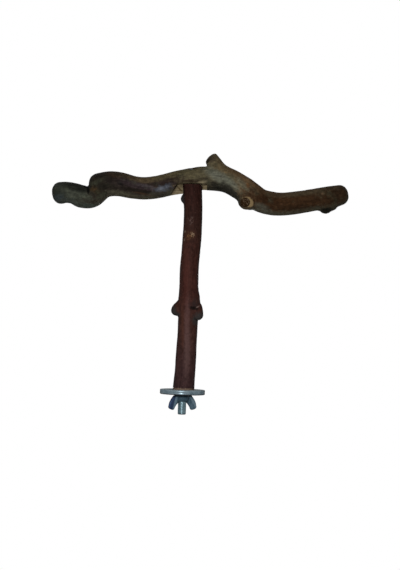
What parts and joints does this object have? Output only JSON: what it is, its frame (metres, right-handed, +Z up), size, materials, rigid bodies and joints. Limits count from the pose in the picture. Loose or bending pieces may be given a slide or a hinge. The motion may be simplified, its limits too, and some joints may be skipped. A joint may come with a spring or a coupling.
{
  "type": "bird perch",
  "caption": "Natural wood bird perch: a gnarled crosspiece housed on an upright branch, with a hanger bolt, wide washers and a wing nut that clamp it to the side of a cage.",
  "frame": {"origin": "on the bolt's axis, in the plane between the two washers, where the cage bars are clamped", "axes": "+X along the crosspiece to its right end as pictured, +Y to the back, +Z up the upright; the bolt points down -Z"},
  "size_m": [0.2508, 0.038, 0.2211],
  "materials": {
    "cross_wood": "weathered bark with lichen",
    "upright_wood": "smooth red-brown bark",
    "screw_steel": "zinc plated",
    "bolt_steel": "zinc plated",
    "washer_steel": "zinc plated",
    "nut_steel": "zinc plated"
  },
  "bodies": {
    "perch": {"cross_branch": "cross_wood", "upright_branch": "upright_wood", "joint_screw": "screw_steel", "hanger_bolt": "bolt_steel", "upper_washer": "washer_steel"},
    "clamp_washer": {"lower_washer": "washer_steel"},
    "clamp_nut": {"wing_nut": "nut_steel"}
  },
  "joints": [
    {"name": "washer_slide", "type": "slide", "parent": "perch", "child": "clamp_washer", "axis": [0, 0, -1], "range_m": [0, 0.00889]},
    {"name": "wing_nut_spin", "type": "hinge", "parent": "clamp_washer", "child": "clamp_nut", "pos_m": [0, 0, -0.002], "axis": [0, 0, -1], "range_deg": [0, 2520]}
  ],
  "couplings": [
    {"joint": "wing_nut_spin", "follows": "washer_slide", "rad_per_m": 4947.4}
  ]
}
